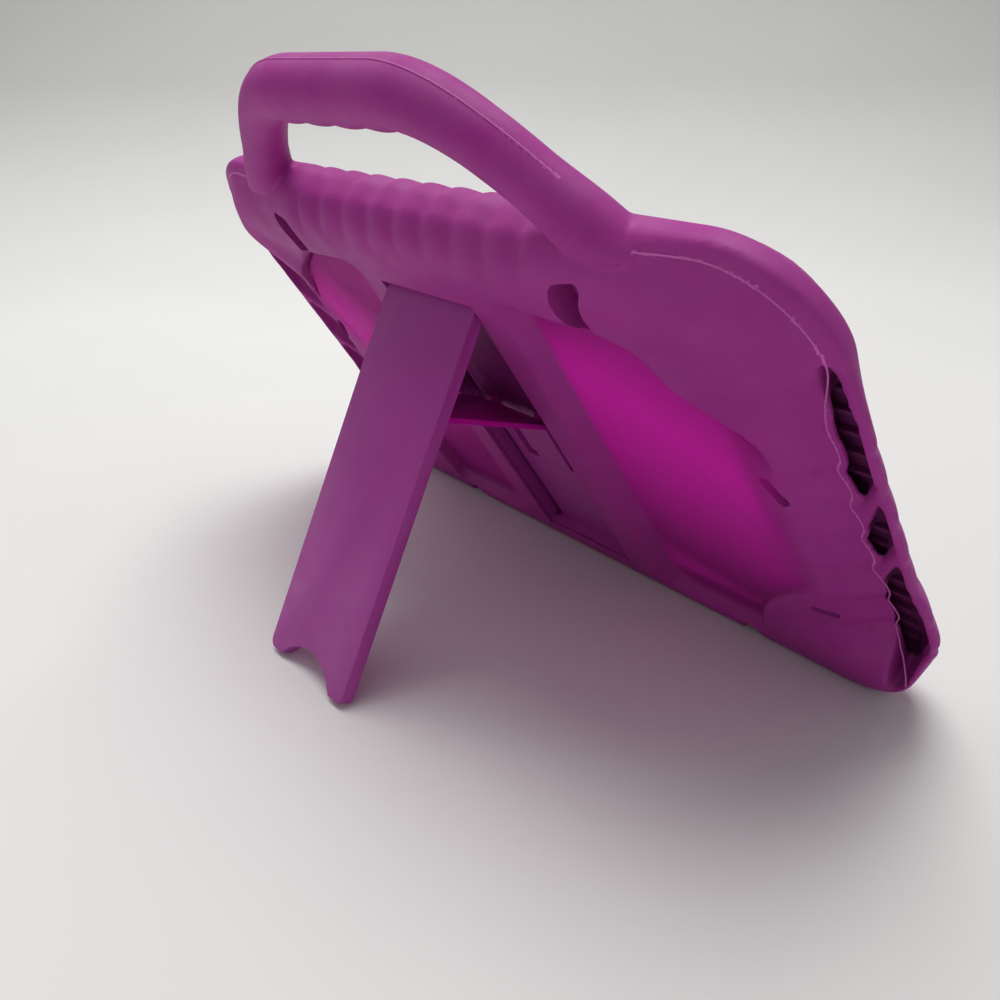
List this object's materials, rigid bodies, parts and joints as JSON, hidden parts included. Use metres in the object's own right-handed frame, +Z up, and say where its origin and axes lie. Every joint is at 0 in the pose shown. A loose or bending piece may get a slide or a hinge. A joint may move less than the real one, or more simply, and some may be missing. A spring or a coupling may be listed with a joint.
{
  "type": "tablet case with handle and folding stand",
  "caption": "Soft moulded tablet case with a raised carrying handle, finger ribs and open side bars, seen leaned back on its hinged stand plate with a folding brace.",
  "frame": {"origin": "middle of the case and stand's box, on the surface that they stand on", "axes": "+Z up, +X along the case's width, to the right when its back is seen, +Y towards the side that the tablet's screen faces"},
  "size_m": [0.2978, 0.1554, 0.1912],
  "materials": {
    "soft_case": "matte silicone, slightly dusty",
    "rigid_tray": "satin",
    "steel_pin": "bright drawn",
    "rigid_stand": "satin",
    "rigid_brace": "gloss"
  },
  "bodies": {
    "case": {"case_shell": "soft_case", "stand_tray": "rigid_tray", "hinge_pin": "steel_pin"},
    "kickstand": {"kickstand_plate": "rigid_stand"},
    "brace": {"brace_link": "rigid_brace"}
  },
  "joints": [
    {"name": "kickstand_hinge", "type": "hinge", "parent": "case", "child": "kickstand", "pos_m": [0, -0.01767, 0.12095], "axis": [1, 0, 0], "range_deg": [0, 60.07]},
    {"name": "brace_hinge", "type": "hinge", "parent": "kickstand", "child": "brace", "pos_m": [0, -0.03354, 0.08808], "axis": [1, 0, 0], "range_deg": [-98.87, 0]}
  ],
  "couplings": [
    {"joint": "brace_hinge", "follows": "kickstand_hinge", "ratio": -1.6458}
  ]
}
